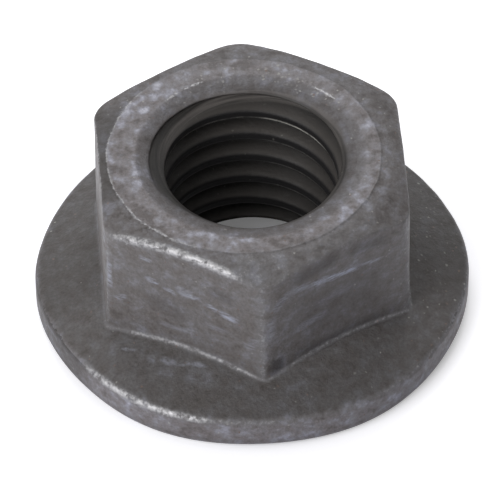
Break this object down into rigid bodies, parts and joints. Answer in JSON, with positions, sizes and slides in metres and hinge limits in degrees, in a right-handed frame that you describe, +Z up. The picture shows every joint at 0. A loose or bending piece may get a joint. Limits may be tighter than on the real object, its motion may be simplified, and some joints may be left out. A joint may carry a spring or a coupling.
{
  "type": "exhaust manifold nut",
  "caption": "Hexagon nut with a wide conical flange and a coarse right-hand thread, which clamps an exhaust manifold to its studs.",
  "frame": {"origin": "centre of the bearing face, on the thread's axis", "axes": "+Z up the thread's axis from the bearing face to the crown, +X square to one of the six flats, +Y to a corner"},
  "size_m": [0.0214, 0.0214, 0.0097],
  "materials": {
    "phosphated_steel": "dark grey phosphate with a trace of oil, matt and mottled"
  },
  "bodies": {
    "root": {"flange_nut": "phosphated_steel"}
  },
  "joints": []
}
